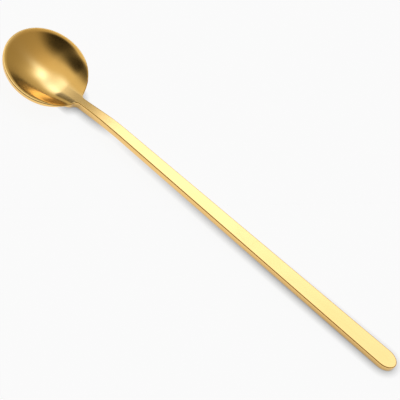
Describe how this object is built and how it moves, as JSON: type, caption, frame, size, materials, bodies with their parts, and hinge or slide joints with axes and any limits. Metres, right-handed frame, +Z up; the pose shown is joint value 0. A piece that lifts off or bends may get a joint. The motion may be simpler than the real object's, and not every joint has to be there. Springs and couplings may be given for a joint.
{
  "type": "stirring spoon",
  "caption": "Long-handled stirring spoon: a round shallow bowl with a polished rim on a slim, straight bar handle that widens to a rounded end.",
  "frame": {"origin": "under the middle of the spoon's length, at the level of the surface that it lies on", "axes": "+X from the tip of the bowl to the end of the handle, +Y across the spoon, +Z up out of the bowl"},
  "size_m": [0.17, 0.0266, 0.0077],
  "materials": {
    "gold_metal": "stainless steel with a polished gold-coloured coating"
  },
  "bodies": {
    "root": {"bowl": "gold_metal", "handle": "gold_metal"}
  },
  "joints": []
}
